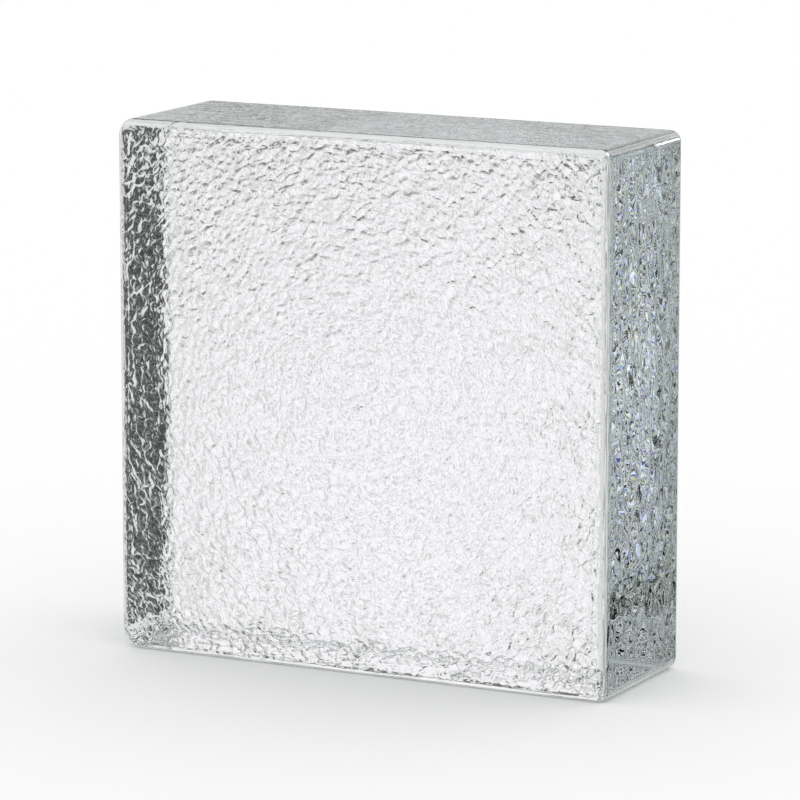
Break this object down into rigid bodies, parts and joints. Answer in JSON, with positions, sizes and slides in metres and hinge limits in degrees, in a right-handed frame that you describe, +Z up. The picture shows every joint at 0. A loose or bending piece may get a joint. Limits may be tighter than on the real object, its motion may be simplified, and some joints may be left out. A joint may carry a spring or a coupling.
{
  "type": "solid glass block",
  "caption": "Solid square block of clear cast glass with rippled wide faces and smooth sides, laid on edge in walls and partitions.",
  "frame": {"origin": "centre of the bottom bed face, on the surface that the block stands on", "axes": "+X along the wall, to the right as seen from the front; +Y through the wall, from the front face to the back face; +Z up"},
  "size_m": [0.19, 0.06, 0.19],
  "materials": {
    "clear_glass": "clear cast glass, fire-polished smooth on the sides, finely rippled on the front and back faces"
  },
  "bodies": {
    "root": {"glass_block": "clear_glass"}
  },
  "joints": []
}
